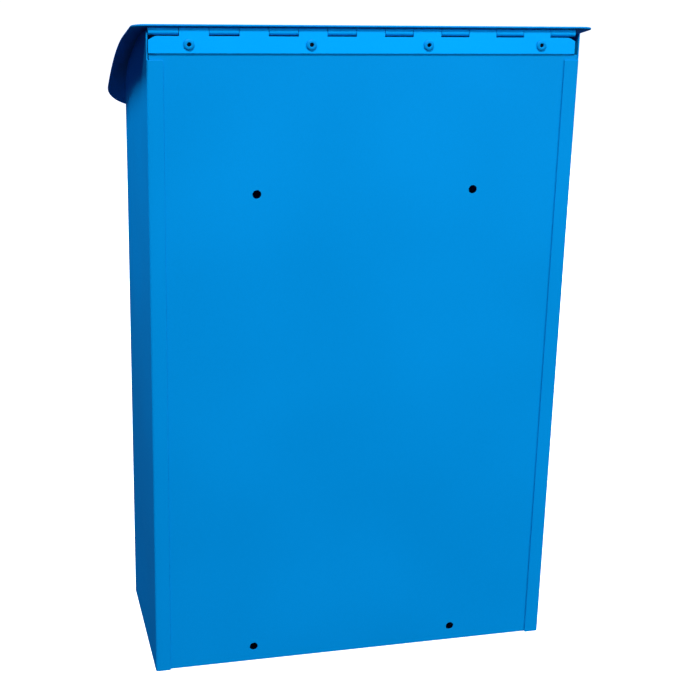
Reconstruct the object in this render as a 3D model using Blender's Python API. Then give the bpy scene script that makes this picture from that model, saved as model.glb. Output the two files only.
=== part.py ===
"""Wall-hung steel mailbox: curved lift-up lid, drop chute and a lockable front door.

Metres, +Z up. The front faces -Y and the wall is on the +Y side. The origin is on
the surface the box stands on, midway along the object's whole width and depth.
"Depth" below is measured forwards from the wall plane. Left and right are the
viewer's own when facing the front, so right is +X.
"""
import math

import bmesh
import bpy
from mathutils import Matrix, Vector

# Box
BOX_WIDTH = 0.386
BOX_DEPTH = 0.1726
HEIGHT_AT_WALL = 0.5988        # top face of the lid, where it crosses the wall plane
SHEET = 0.0012
GAP = 0.0003                   # between neighbouring pieces
BEND_RADIUS = 0.0008           # inside radius of a folded corner
BEND_STEPS = 3

# Side panels
REAR_FLANGE = 0.0138
FRONT_FLANGE = 0.012
FLANGE_STOP = 0.029            # rear flange ends this far below HEIGHT_AT_WALL
SIDE_ARC_RADIUS = 0.290        # long arc along the top edge
SIDE_ARC_START = math.radians(3.5)
SIDE_ARC_END = math.radians(20.0)
SIDE_CORNER_RADIUS = 0.056     # top front corner
SIDE_CORNER_STEPS = 8

# Lid
LID_SHEET = 0.0015
LID_SIDE_OVERHANG = 0.012
LID_REAR_OVERHANG = 0.003
LID_PITCH = math.radians(12.4)
LID_STRAIGHT = 0.0677          # run from the wall plane to the start of the roll
LID_ROLL_RADIUS = 0.501
LID_LENGTH = 0.2783            # wall plane to front edge, along the top face
LID_FRONT_CORNER = 0.0436
LID_REAR_CORNER = 0.012
LID_REAR_CORNER_STEPS = 5
LID_FRONT_CORNER_STEPS = 8
LID_STRIPS = 14                # flats that stand for the roll

# Continuous hinges, the same section for lid and door
PIN_RADIUS = 0.0015
KNUCKLE = 0.0254
KNUCKLE_GAP = 0.0004
LEAF = 0.0012
LEAF_WIDTH = 0.0179            # axis to free edge
LEAF_NOTCH = 0.0014            # clear space round the other leaf's knuckles
NOTCH_OVERCUT = 0.001
CURL_ANGLE = math.radians(300)
CURL_STEPS = 10
LEAF_CORNER = (0.006, 0.003)   # clipped corners of the back leaf
RIVET_LINE = 0.0105            # axis to rivets
RIVET_END_MARGIN = 0.0338      # outer rivets to the hinge's ends
RIVETS_PER_LEAF = 4

# Blind rivets
RIVET_SHANK = 0.0023
RIVET_HOLE = 0.0026
RIVET_HEAD = 0.00475
RIVET_HEAD_HEIGHT = 0.0016
RIVET_BULB = 0.0033
RIVET_BULB_LENGTH = 0.0028
RIVET_BULB_STRAIGHT = 0.6      # share of the bulb before it tapers
RIVET_MANDREL = 0.0016
RIVET_STEPS = 12
RIVET_DOME = 0.75              # share of the head's height that is domed
RIVET_DOME_STEPS = 3

# Back panel
PANEL_LIFT = 0.0006            # lower edge of the back and front panels
BACK_TOP_DROP = 0.001          # below the lid hinge's notches
BACK_CORNER = (0.0065, 0.0133) # notch in each upper corner, width and height
MOUNT_HOLE_RADIUS = 0.00395
MOUNT_HOLE_X = 0.0991
MOUNT_HOLE_LOW = 0.0152
MOUNT_HOLE_RISE = 0.4397
HOLE_STEPS = 20

# Floor tray
TRAY_WALL = 0.010
DRAIN_RADIUS = 0.003
DRAIN_INSET = 0.030

# Front panel and door
FRONT_TOP_DROP = 0.001         # below the top of the side panels' front edges
TOP_RETURN = 0.014
DOOR_SIDE_MARGIN = 0.038       # door opening to the box's outer side
DOOR_LOW = 0.055
DOOR_HIGH_MARGIN = 0.055       # door opening to the front panel's top
RIM_DEPTH = 0.012
DOOR_CLEARANCE = 0.0015
DOOR_FLANGE_SETBACK = 0.0005   # door's flanges stop this far short of the rim's depth
DOOR_HINGE_CLEARANCE = 0.0005

# Mail chute
CHUTE_DROP = 0.017             # chute's front fold below the front panel's top
CHUTE_TAB = 0.015
CHUTE_THROAT = 0.056           # open depth between the chute and the back panel
CHUTE_SLOPE = math.radians(27)
CHUTE_LIP = 0.012

# Cam lock
LOCK_INSET = 0.022             # lock centre to the door's free edge
PLUG_RADIUS = 0.0065
PLUG_RIM = 0.0013              # plug's front lip beyond the plug
PLUG_LIP = 0.0012
LOCK_BARREL_WALL = 0.0025
LOCK_HEAD_RIM = 0.0017         # head beyond the barrel
LOCK_HEAD_HEIGHT = 0.0024
NUT_WALL = 0.0027              # nut's flats beyond the barrel
NUT_HEIGHT = 0.004
TAIL_SIDE = 0.006
CAM_THICKNESS = 0.002
CAM_WIDTH = 0.014
CAM_OVERLAP = 0.011            # how far the turned cam reaches past the opening's edge
CAM_STEPS = 8
CAM_SCREW_RADIUS = 0.0017
CAM_SCREW_HEAD = 0.0048
CAM_SCREW_HEAD_HEIGHT = 0.0022
CAM_SCREW_CROWN = 0.8          # share of the head's radius that is flat on top
CAM_SCREW_LENGTH = 0.006
KEYWAY = (0.0018, 0.0080, 0.0060)
SLOT = (0.0012, 0.0010)
LOCK_STEPS = 24
CHAMFER_SHARE = 1 / 3          # of a turned head's height

# Finishes: colour, roughness, metallic
BLUE = ((0.005, 0.235, 0.700, 1), 0.38, 0.0)
PLATED = ((0.62, 0.62, 0.60, 1), 0.32, 1.0)
CHROME = ((0.78, 0.78, 0.78, 1), 0.18, 1.0)

# Derived places
BARREL_RADIUS = PIN_RADIUS + GAP + LEAF
LOCK_BARREL_RADIUS = PLUG_RADIUS + GAP + LOCK_BARREL_WALL
LOCK_HEAD_RADIUS = LOCK_BARREL_RADIUS + LOCK_HEAD_RIM
PLUG_LIP_RADIUS = PLUG_RADIUS + PLUG_RIM
NUT_FLATS = 2 * (LOCK_BARREL_RADIUS + NUT_WALL)
DOOR_FLANGE = RIM_DEPTH - DOOR_FLANGE_SETBACK
HALF_WIDTH = BOX_WIDTH / 2
INNER_HALF = HALF_WIDTH - SHEET
FITTED_HALF = INNER_HALF - GAP
PANEL_HALF = INNER_HALF - BEND_RADIUS   # panels that seat in the side panels' folds
BACK_OUTER = max(SHEET, LEAF) + GAP     # inside the rear flanges and the hinge's leaf
BACK_INNER = BACK_OUTER + SHEET
FRONT_OUTER = BOX_DEPTH - SHEET - GAP
FRONT_INNER = FRONT_OUTER - SHEET
BEYOND = 0.010                 # how far a cutter runs past what it cuts
SMOOTH_ANGLE = math.radians(35)
MERGE_DISTANCE = 1e-6
FACING = 0.9                   # least cosine between two directions that count as one
AXIS_MARK = 0.05


def lid_place(run):
    """Depth, height and slope of the lid's top face, a run along it from the wall."""
    flat = min(run, LID_STRAIGHT)
    depth = flat * math.cos(LID_PITCH)
    height = HEIGHT_AT_WALL - flat * math.sin(LID_PITCH)
    slope = LID_PITCH + max(run - LID_STRAIGHT, 0) / LID_ROLL_RADIUS
    depth += LID_ROLL_RADIUS * (math.sin(slope) - math.sin(LID_PITCH))
    height -= LID_ROLL_RADIUS * (math.cos(LID_PITCH) - math.cos(slope))
    return depth, height, slope


def odd_count(length):
    """Largest odd number of whole knuckles in a length."""
    count = int(length / KNUCKLE)
    return count if count % 2 else count - 1


FRONT_REACH = lid_place(LID_LENGTH)[0]
REAR_REACH = LID_REAR_OVERHANG + LID_SHEET * math.sin(LID_PITCH)
WALL_Y = (FRONT_REACH - REAR_REACH) / 2

LID_FORWARD = Vector((0, -math.cos(LID_PITCH), -math.sin(LID_PITCH)))
LID_UP = Vector((0, -math.sin(LID_PITCH), math.cos(LID_PITCH)))
LID_AXIS_DEPTH = BARREL_RADIUS
LID_AXIS_HEIGHT = (HEIGHT_AT_WALL - LID_AXIS_DEPTH * math.tan(LID_PITCH)
                   - (LID_SHEET + GAP + BARREL_RADIUS) / math.cos(LID_PITCH))
LID_HINGE_LENGTH = odd_count(2 * FITTED_HALF) * KNUCKLE
LID_HINGE_X = FITTED_HALF - LID_HINGE_LENGTH / 2    # the hinge butts against the right-hand side
LID_AXIS = Vector((LID_HINGE_X, WALL_Y - LID_AXIS_DEPTH, LID_AXIS_HEIGHT))
LID_RIVET_RUN = (RIVET_LINE + LID_AXIS_DEPTH * math.cos(LID_PITCH)
                 + (HEIGHT_AT_WALL - LID_AXIS_HEIGHT) * math.sin(LID_PITCH))


def side_top_rear():
    """Height of the side panel's rear top corner, so that the lid rests on its edge."""
    touch = SIDE_ARC_RADIUS * (math.sin(LID_PITCH) - math.sin(SIDE_ARC_START))
    fall = SIDE_ARC_RADIUS * (math.cos(SIDE_ARC_START) - math.cos(LID_PITCH))
    lid_under = (HEIGHT_AT_WALL - touch * math.tan(LID_PITCH)
                 - (LID_SHEET + GAP) / math.cos(LID_PITCH))
    return lid_under + fall


def side_profile():
    """Depth and height along the side panel's top edge, from the wall to the front."""
    points = []
    start = side_top_rear()
    for step in range(SIDE_CORNER_STEPS + 1):
        slope = SIDE_ARC_START + (SIDE_ARC_END - SIDE_ARC_START) * step / SIDE_CORNER_STEPS
        depth = SIDE_ARC_RADIUS * (math.sin(slope) - math.sin(SIDE_ARC_START))
        points.append((depth, start - SIDE_ARC_RADIUS * (math.cos(SIDE_ARC_START) - math.cos(slope))))
    arc_depth, arc_height = points[-1]
    corner_depth = BOX_DEPTH - SIDE_CORNER_RADIUS * (1 - math.sin(SIDE_ARC_END))
    corner_height = arc_height - (corner_depth - arc_depth) * math.tan(SIDE_ARC_END)
    for step in range(SIDE_CORNER_STEPS + 1):
        slope = SIDE_ARC_END + (math.pi / 2 - SIDE_ARC_END) * step / SIDE_CORNER_STEPS
        points.append((corner_depth + SIDE_CORNER_RADIUS * (math.sin(slope) - math.sin(SIDE_ARC_END)),
                       corner_height - SIDE_CORNER_RADIUS * (math.cos(SIDE_ARC_END) - math.cos(slope))))
    return points


FRONT_TOP = side_profile()[-1][1] - FRONT_TOP_DROP
LEAF_REACH = BARREL_RADIUS + LEAF_NOTCH
BACK_TOP = LID_AXIS_HEIGHT - LEAF_REACH - BACK_TOP_DROP

DOOR_EDGE = HALF_WIDTH - DOOR_SIDE_MARGIN
DOOR_HIGH = FRONT_TOP - DOOR_HIGH_MARGIN
HINGE_SPACE = BARREL_RADIUS + DOOR_HINGE_CLEARANCE
DOOR_AXIS_X = -DOOR_EDGE + HINGE_SPACE
DOOR_AXIS_DEPTH = FRONT_INNER - GAP - LEAF + BARREL_RADIUS
DOOR_MIDDLE = (DOOR_LOW + DOOR_HIGH) / 2
DOOR_HINGE_LENGTH = odd_count(DOOR_HIGH - DOOR_LOW - 2 * (DOOR_CLEARANCE + SHEET + GAP)) * KNUCKLE
DOOR_AXIS = Vector((DOOR_AXIS_X, WALL_Y - DOOR_AXIS_DEPTH, DOOR_MIDDLE))
DOOR_FREE_EDGE = DOOR_EDGE - DOOR_CLEARANCE
LOCK_X = DOOR_FREE_EDGE - LOCK_INSET
LOCK_FACE = Vector((LOCK_X, WALL_Y - FRONT_OUTER, DOOR_MIDDLE))
CAM_BACK = RIM_DEPTH + GAP     # cam's front face, inwards from the door's outer face
BARREL_END = CAM_BACK - GAP


# Scene helpers

def make_material(name, finish):
    colour, roughness, metallic = finish
    material = bpy.data.materials.new(name)
    material.use_nodes = True
    shader = material.node_tree.nodes["Principled BSDF"]
    shader.inputs["Base Color"].default_value = colour
    shader.inputs["Roughness"].default_value = roughness
    shader.inputs["Metallic"].default_value = metallic
    material.diffuse_color = colour
    return material


def add_object(name, bm, finish=None, parent=None, smooth=False):
    """Link a mesh as an object; without a finish it is a hidden cutter."""
    bmesh.ops.recalc_face_normals(bm, faces=bm.faces)
    mesh = bpy.data.meshes.new(name)
    bm.to_mesh(mesh)
    bm.free()
    if smooth:
        mesh.shade_smooth()
        mesh.set_sharp_from_angle(angle=SMOOTH_ANGLE)
    piece = bpy.data.objects.new(name, mesh)
    bpy.context.scene.collection.objects.link(piece)
    if finish:
        mesh.materials.append(make_material(name, finish))
    else:
        piece.hide_render = True
        piece.display_type = "WIRE"
    if parent:
        piece.parent = parent
        piece.matrix_parent_inverse = Matrix.Translation(-parent.location)
    return piece


def add_axis(name, place):
    axis = bpy.data.objects.new(name, None)
    axis.location = place
    axis.empty_display_size = AXIS_MARK
    bpy.context.scene.collection.objects.link(axis)
    return axis


def boolean(piece, tool, operation="DIFFERENCE"):
    modifier = piece.modifiers.new(operation.title(), "BOOLEAN")
    modifier.operation = operation
    modifier.solver = "EXACT"
    modifier.object = tool


def solidify(piece, thickness):
    modifier = piece.modifiers.new("Sheet", "SOLIDIFY")
    modifier.thickness = thickness
    modifier.offset = -1
    modifier.use_even_offset = True


# Shapes

def frame_matrix(origin, first, second, third):
    """Places outline coordinates (first, second) and extrusion (third) in space."""
    turn = Matrix((first, second, third)).transposed().to_4x4()
    return Matrix.Translation(origin) @ turn


UPRIGHT = frame_matrix(Vector((0, WALL_Y, 0)), (1, 0, 0), (0, -1, 0), (0, 0, 1))
CROSSWISE = frame_matrix(Vector((0, WALL_Y, 0)), (0, -1, 0), (0, 0, 1), (1, 0, 0))
FRONTWISE = frame_matrix(Vector((0, WALL_Y, 0)), (1, 0, 0), (0, 0, 1), (0, -1, 0))


def add_prism(bm, outline, low, high, place):
    """Extrude a closed outline from low to high and place it."""
    corners = [bm.verts.new((across, along, low)) for across, along in outline]
    base = bm.faces.new(corners)
    grown = bmesh.ops.extrude_face_region(bm, geom=[base])["geom"]
    moved = [item for item in grown if isinstance(item, bmesh.types.BMVert)]
    bmesh.ops.translate(bm, verts=moved, vec=(0, 0, high - low))
    bmesh.ops.transform(bm, matrix=place, verts=corners + moved)


def add_box(bm, low, high):
    """Box between two corners given as x, depth, height."""
    outline = [(low[0], low[1]), (high[0], low[1]), (high[0], high[1]), (low[0], high[1])]
    add_prism(bm, outline, low[2], high[2], UPRIGHT)


def add_rod(bm, radius, low, high, steps, place):
    outline = [(radius * math.cos(math.tau * step / steps), radius * math.sin(math.tau * step / steps))
               for step in range(steps)]
    add_prism(bm, outline, low, high, place)


def add_turned(bm, profile, steps, place):
    """Turn a closed profile of (radius, height) points about the third axis of a frame."""
    corners = [bm.verts.new((radius, 0, height)) for radius, height in profile]
    for first, second in zip(corners, corners[1:]):
        bm.edges.new((first, second))
    if profile[0][0] > 0:
        bm.edges.new((corners[-1], corners[0]))
    bmesh.ops.spin(bm, geom=corners + bm.edges[:], axis=(0, 0, 1), cent=(0, 0, 0),
                   steps=steps, angle=math.tau, use_merge=True)
    bmesh.ops.remove_doubles(bm, verts=bm.verts, dist=MERGE_DISTANCE)
    bmesh.ops.transform(bm, matrix=place, verts=bm.verts)


def direction(first, second):
    return (Vector(second) - Vector(first)).normalized()


def folded_outline(path, thickness):
    """Outline of a folded sheet. The path runs along one face, the metal on its left."""
    face = [Vector(path[0])]
    other = [Vector(path[0]) + thickness * direction(path[0], path[1]).orthogonal()]
    for before, corner, after in zip(path, path[1:], path[2:]):
        incoming = direction(before, corner)
        outgoing = direction(corner, after)
        left_turn = incoming.cross(outgoing) > 0
        turn = math.acos(max(-1, min(1, incoming.dot(outgoing))))
        radius = BEND_RADIUS + (thickness if left_turn else 0)
        other_radius = BEND_RADIUS + (0 if left_turn else thickness)
        towards = incoming.orthogonal() * (1 if left_turn else -1)
        centre = Vector(corner) - incoming * radius * math.tan(turn / 2) + towards * radius
        for step in range(BEND_STEPS + 1):
            angle = turn * step / BEND_STEPS * (1 if left_turn else -1)
            spoke = Matrix.Rotation(angle, 2) @ -towards
            face.append(centre + spoke * radius)
            other.append(centre + spoke * other_radius)
    last = direction(path[-2], path[-1])
    face.append(Vector(path[-1]))
    other.append(Vector(path[-1]) + thickness * last.orthogonal())
    return [tuple(point) for point in face + other[::-1]]


def rivet_positions(length):
    """Places of the rivets along a hinge of this length, measured from its middle."""
    reach = length / 2 - RIVET_END_MARGIN
    return [reach * (2 * number / (RIVETS_PER_LEAF - 1) - 1) for number in range(RIVETS_PER_LEAF)]


# Hinges

def leaf_outline():
    """Section of a leaf rolled round the pin: across is along the leaf, from the axis."""
    inner = BARREL_RADIUS - LEAF
    outline = [(LEAF_WIDTH, BARREL_RADIUS)]
    angles = [CURL_ANGLE * step / CURL_STEPS for step in range(CURL_STEPS + 1)]
    outline += [(-BARREL_RADIUS * math.sin(angle), BARREL_RADIUS * math.cos(angle)) for angle in angles]
    outline += [(-inner * math.sin(angle), inner * math.cos(angle)) for angle in reversed(angles)]
    outline.append((LEAF_WIDTH, inner))
    return outline


def add_leaf(name, place, length, owns_ends, parent, clipped=False):
    """One hinge leaf with its knuckles, notched for the other leaf's and drilled."""
    bm = bmesh.new()
    add_prism(bm, leaf_outline(), -length / 2, length / 2, place)
    leaf = add_object(name, bm, BLUE, parent, smooth=True)
    bm = bmesh.new()
    over = BARREL_RADIUS + NOTCH_OVERCUT
    for number in range(round(length / KNUCKLE)):
        if (number % 2 == 0) == owns_ends:
            continue
        low = -length / 2 + number * KNUCKLE - KNUCKLE_GAP / 2
        high = low + KNUCKLE + KNUCKLE_GAP
        low -= BEYOND if number == 0 else 0
        high += BEYOND if number == round(length / KNUCKLE) - 1 else 0
        notch = [(-over, -over), (LEAF_REACH, -over), (LEAF_REACH, over), (-over, over)]
        add_prism(bm, notch, low, high, place)
    across = place @ Matrix.Rotation(math.pi / 2, 4, "X")
    for position in rivet_positions(length):
        spot = across @ Matrix.Translation((RIVET_LINE, position, 0))
        add_rod(bm, RIVET_HOLE, -BEYOND, 0, RIVET_STEPS, spot)
    boolean(leaf, add_object(name + "_cutter", bm, parent=parent))
    if clipped:
        bm = bmesh.new()
        wide, deep = LEAF_CORNER
        for side in (-1, 1):
            end = side * length / 2
            clip = [(LEAF_REACH - deep, end - side * 2 * wide), (LEAF_REACH + deep, end),
                    (LEAF_REACH + deep, end + side * wide), (LEAF_REACH - deep, end + side * wide)]
            add_prism(bm, clip, -BEYOND, 0, across)
        boolean(leaf, add_object(name + "_corner_cutter", bm, parent=parent))
    return leaf


def add_pin(name, place, length, parent=None):
    bm = bmesh.new()
    add_rod(bm, PIN_RADIUS, -length / 2, length / 2, RIVET_STEPS, place)
    add_object(name, bm, PLATED, parent, smooth=True)


def add_rivet(name, place, stack, parent=None):
    """Blind rivet: its frame's origin is on the outer face, third axis outwards."""
    profile = [(0, -RIVET_BULB_LENGTH / 2), (RIVET_MANDREL, -RIVET_BULB_LENGTH / 2),
               (RIVET_MANDREL, GAP + RIVET_HEAD_HEIGHT)]
    for step in range(1, RIVET_DOME_STEPS + 1):
        lean = math.pi / 2 * step / RIVET_DOME_STEPS
        profile.append((RIVET_MANDREL + (RIVET_HEAD - RIVET_MANDREL) * math.sin(lean),
                        GAP + RIVET_HEAD_HEIGHT * (1 - RIVET_DOME + RIVET_DOME * math.cos(lean))))
    under = -stack - GAP
    profile += [(RIVET_HEAD, GAP), (RIVET_SHANK, GAP), (RIVET_SHANK, under), (RIVET_BULB, under),
                (RIVET_BULB, under - RIVET_BULB_LENGTH * RIVET_BULB_STRAIGHT),
                (0, under - RIVET_BULB_LENGTH)]
    bm = bmesh.new()
    add_turned(bm, profile, RIVET_STEPS, place)
    add_object(name, bm, BLUE, parent, smooth=True)


def drill_rivet_holes(bm, places):
    for place in places:
        add_rod(bm, RIVET_HOLE, -BEYOND / 2, BEYOND / 2, RIVET_STEPS, place)


# Box

def add_side_panel(name, side):
    path = [(HALF_WIDTH - FRONT_FLANGE, -BOX_DEPTH), (HALF_WIDTH, -BOX_DEPTH),
            (HALF_WIDTH, 0), (HALF_WIDTH - REAR_FLANGE, 0)]
    outline = [(side * across, -along) for across, along in folded_outline(path, SHEET)]
    bm = bmesh.new()
    add_prism(bm, outline, 0, HEIGHT_AT_WALL, UPRIGHT)
    panel = add_object(name, bm, BLUE)

    profile = side_profile()
    above = HEIGHT_AT_WALL + BEYOND
    outline = ([(-BEYOND, profile[0][1])] + profile
               + [(BOX_DEPTH + BEYOND, profile[-1][1]), (BOX_DEPTH + BEYOND, above), (-BEYOND, above)])
    bm = bmesh.new()
    add_prism(bm, outline, -HALF_WIDTH - BEYOND, HALF_WIDTH + BEYOND, CROSSWISE)
    boolean(panel, add_object(name + "_top_cutter", bm))

    inner, outer = sorted((side * (HALF_WIDTH - REAR_FLANGE - BEYOND), side * (HALF_WIDTH + BEYOND)))
    bm = bmesh.new()
    add_box(bm, (inner, -BEYOND, HEIGHT_AT_WALL - FLANGE_STOP),
            (outer, SHEET + BEND_RADIUS, above + BEYOND))
    boolean(panel, add_object(name + "_notch_cutter", bm))


def back_rivet_places():
    return [frame_matrix(Vector((LID_HINGE_X + x, WALL_Y, LID_AXIS_HEIGHT - RIVET_LINE)),
                         (1, 0, 0), (0, 0, -1), (0, 1, 0)) for x in rivet_positions(LID_HINGE_LENGTH)]


def add_back_panel():
    bm = bmesh.new()
    add_box(bm, (-PANEL_HALF, BACK_OUTER, PANEL_LIFT), (PANEL_HALF, BACK_INNER, BACK_TOP))
    panel = add_object("back_panel", bm, BLUE)
    bm = bmesh.new()
    for x in (-MOUNT_HOLE_X, MOUNT_HOLE_X):
        for height in (MOUNT_HOLE_LOW, MOUNT_HOLE_LOW + MOUNT_HOLE_RISE):
            place = frame_matrix(Vector((x, WALL_Y - BACK_OUTER, height)), (1, 0, 0), (0, 0, -1), (0, 1, 0))
            add_rod(bm, MOUNT_HOLE_RADIUS, -BEYOND, BEYOND, HOLE_STEPS, place)
    drill_rivet_holes(bm, back_rivet_places())
    wide, tall = BACK_CORNER
    for inner, outer in ((PANEL_HALF - wide, PANEL_HALF + BEYOND), (-PANEL_HALF - BEYOND, wide - PANEL_HALF)):
        add_box(bm, (inner, BACK_OUTER - BEYOND, BACK_TOP - tall),
                (outer, BACK_INNER + BEYOND, BACK_TOP + BEYOND))
    boolean(panel, add_object("back_panel_cutter", bm))


def open_tray(name, low, high, open_faces, parent=None):
    """Sheet-metal tray: a box of sheet with the faces of the given directions left off."""
    bm = bmesh.new()
    add_box(bm, low, high)
    bmesh.ops.recalc_face_normals(bm, faces=bm.faces)
    left_off = [face for face in bm.faces
                if any(face.normal.dot(Vector(way)) > FACING for way in open_faces)]
    bmesh.ops.delete(bm, geom=left_off, context="FACES")
    mesh_object = add_open_sheet(name, bm, parent)
    solidify(mesh_object, SHEET)
    return mesh_object


def add_open_sheet(name, bm, parent):
    """Link an open surface as it is, without turning its faces."""
    mesh = bpy.data.meshes.new(name)
    bm.to_mesh(mesh)
    bm.free()
    mesh.materials.append(make_material(name, BLUE))
    piece = bpy.data.objects.new(name, mesh)
    bpy.context.scene.collection.objects.link(piece)
    if parent:
        piece.parent = parent
        piece.matrix_parent_inverse = Matrix.Translation(-parent.location)
    return piece


def add_floor_tray():
    tray = open_tray("floor_tray", (-FITTED_HALF, BACK_INNER + GAP, 0),
                     (FITTED_HALF, FRONT_INNER - GAP, TRAY_WALL), [(0, 0, 1)])
    bm = bmesh.new()
    for x in (-FITTED_HALF + DRAIN_INSET, FITTED_HALF - DRAIN_INSET):
        for depth in (BACK_INNER + DRAIN_INSET, FRONT_INNER - DRAIN_INSET):
            place = frame_matrix(Vector((x, WALL_Y - depth, 0)), (1, 0, 0), (0, 1, 0), (0, 0, 1))
            add_rod(bm, DRAIN_RADIUS, -BEYOND, BEYOND, RIVET_STEPS, place)
    boolean(tray, add_object("floor_tray_cutter", bm))


def door_rivet_places(across):
    """Rivets of one door hinge leaf; across is the leaf's direction from the axis."""
    x = DOOR_AXIS_X + across * RIVET_LINE
    return [frame_matrix(Vector((x, WALL_Y - FRONT_OUTER, DOOR_MIDDLE + height)),
                         (1, 0, 0), (0, 0, 1), (0, -1, 0))
            for height in rivet_positions(DOOR_HINGE_LENGTH)]


def add_front_panel():
    path = [(FRONT_OUTER, PANEL_LIFT), (FRONT_OUTER, FRONT_TOP), (FRONT_OUTER - TOP_RETURN, FRONT_TOP)]
    bm = bmesh.new()
    add_prism(bm, folded_outline(path, SHEET), -PANEL_HALF, PANEL_HALF, CROSSWISE)
    panel = add_object("front_panel", bm, BLUE)

    half = SHEET / 2
    bm = bmesh.new()
    add_box(bm, (-DOOR_EDGE, FRONT_INNER - BEYOND / 2, DOOR_LOW - half),
            (DOOR_EDGE + half, FRONT_OUTER + BEYOND, DOOR_HIGH + half))
    drill_rivet_holes(bm, door_rivet_places(-1))
    boolean(panel, add_object("front_panel_cutter", bm))

    path = [(-DOOR_EDGE + SHEET, DOOR_HIGH), (DOOR_EDGE, DOOR_HIGH),
            (DOOR_EDGE, DOOR_LOW), (-DOOR_EDGE + SHEET, DOOR_LOW)]
    bm = bmesh.new()
    add_prism(bm, folded_outline(path, SHEET), FRONT_OUTER - RIM_DEPTH, FRONT_OUTER, FRONTWISE)
    boolean(panel, add_object("front_panel_rim", bm), "UNION")


def add_mail_chute():
    face = FRONT_INNER - GAP
    fold = FRONT_TOP - CHUTE_DROP
    tip = BACK_INNER + CHUTE_THROAT
    tip_height = fold - (face - tip) * math.tan(CHUTE_SLOPE)
    path = [(face, fold - CHUTE_TAB), (face, fold), (tip, tip_height), (tip, tip_height - CHUTE_LIP)]
    bm = bmesh.new()
    add_prism(bm, folded_outline(path, SHEET), -FITTED_HALF, FITTED_HALF, CROSSWISE)
    add_object("mail_chute", bm, BLUE)


# Lid

def lid_blank_outline():
    """Flat blank of the lid: across the box, and the run forwards from the wall plane."""
    half = HALF_WIDTH + LID_SIDE_OVERHANG
    rear = -LID_REAR_OVERHANG / math.cos(LID_PITCH)
    corners = [(half, rear, LID_REAR_CORNER, -90, LID_REAR_CORNER_STEPS),
               (half, LID_LENGTH, LID_FRONT_CORNER, 0, LID_FRONT_CORNER_STEPS),
               (-half, LID_LENGTH, LID_FRONT_CORNER, 90, LID_FRONT_CORNER_STEPS),
               (-half, rear, LID_REAR_CORNER, 180, LID_REAR_CORNER_STEPS)]
    outline = []
    for x, run, radius, start, steps in corners:
        centre = Vector((x - math.copysign(radius, x), run + radius if run < 0 else run - radius))
        for step in range(steps + 1):
            angle = math.radians(start + 90 * step / steps)
            outline.append((centre.x + radius * math.cos(angle), centre.y + radius * math.sin(angle)))
    return outline


def add_lid_sheet(parent):
    bm = bmesh.new()
    bm.faces.new([bm.verts.new((x, -run, 0)) for x, run in lid_blank_outline()])
    for strip in range(LID_STRIPS):
        run = LID_STRAIGHT + (LID_LENGTH - LID_STRAIGHT) * strip / LID_STRIPS
        bmesh.ops.bisect_plane(bm, geom=bm.verts[:] + bm.edges[:] + bm.faces[:],
                               plane_co=(0, -run, 0), plane_no=(0, 1, 0))
    for vert in bm.verts:
        depth, height, _ = lid_place(-vert.co.y)
        vert.co = (vert.co.x, WALL_Y - depth, height)
    bmesh.ops.recalc_face_normals(bm, faces=bm.faces)
    if sum(face.normal.z for face in bm.faces) < 0:
        bmesh.ops.reverse_faces(bm, faces=bm.faces)
    lid = add_open_sheet("lid_sheet", bm, parent)
    solidify(lid, LID_SHEET)
    bm = bmesh.new()
    drill_rivet_holes(bm, lid_rivet_places())
    boolean(lid, add_object("lid_sheet_cutter", bm, parent=parent))


def lid_rivet_places():
    depth, height, _ = lid_place(LID_RIVET_RUN)
    return [frame_matrix(Vector((LID_HINGE_X + x, WALL_Y - depth, height)), (1, 0, 0), -LID_FORWARD, LID_UP)
            for x in rivet_positions(LID_HINGE_LENGTH)]


def add_lid(lid_axis):
    length = LID_HINGE_LENGTH
    back_place = frame_matrix(LID_AXIS, (0, 0, -1), (0, 1, 0), (1, 0, 0))
    lid_place_frame = frame_matrix(LID_AXIS, LID_FORWARD, LID_UP, (1, 0, 0))
    add_leaf("lid_hinge_back_leaf", back_place, length, False, None, clipped=True)
    add_leaf("lid_hinge_lid_leaf", lid_place_frame, length, True, lid_axis)
    add_pin("lid_hinge_pin", back_place, length)
    add_lid_sheet(lid_axis)
    for number, place in enumerate(back_rivet_places(), 1):
        add_rivet(f"back_rivet_{number}", place, BACK_INNER)
    for number, place in enumerate(lid_rivet_places(), 1):
        add_rivet(f"lid_rivet_{number}", place, LID_SHEET + GAP + LEAF, lid_axis)


# Door

def add_door_panel(door_axis):
    panel = open_tray("door_panel",
                      (DOOR_AXIS_X + HINGE_SPACE, FRONT_OUTER - DOOR_FLANGE, DOOR_LOW + DOOR_CLEARANCE),
                      (DOOR_FREE_EDGE, FRONT_OUTER, DOOR_HIGH - DOOR_CLEARANCE),
                      [(0, 1, 0), (-1, 0, 0)], door_axis)
    bm = bmesh.new()
    drill_rivet_holes(bm, door_rivet_places(1))
    add_rod(bm, LOCK_BARREL_RADIUS + GAP, -BEYOND / 2, BEYOND / 2, LOCK_STEPS, lock_place())
    boolean(panel, add_object("door_panel_cutter", bm, parent=door_axis))


def add_door(door_axis):
    length = DOOR_HINGE_LENGTH
    frame_place = frame_matrix(DOOR_AXIS, (-1, 0, 0), (0, 1, 0), (0, 0, 1))
    door_place = frame_matrix(DOOR_AXIS, (1, 0, 0), (0, 1, 0), (0, 0, 1))
    add_leaf("door_hinge_frame_leaf", frame_place, length, True, None)
    add_leaf("door_hinge_door_leaf", door_place, length, False, door_axis)
    add_pin("door_hinge_pin", frame_place, length)
    add_door_panel(door_axis)
    for number, place in enumerate(door_rivet_places(-1), 1):
        add_rivet(f"frame_rivet_{number}", place, SHEET + GAP + LEAF)
    for number, place in enumerate(door_rivet_places(1), 1):
        add_rivet(f"door_rivet_{number}", place, SHEET + GAP + LEAF, door_axis)


# Lock

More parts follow.
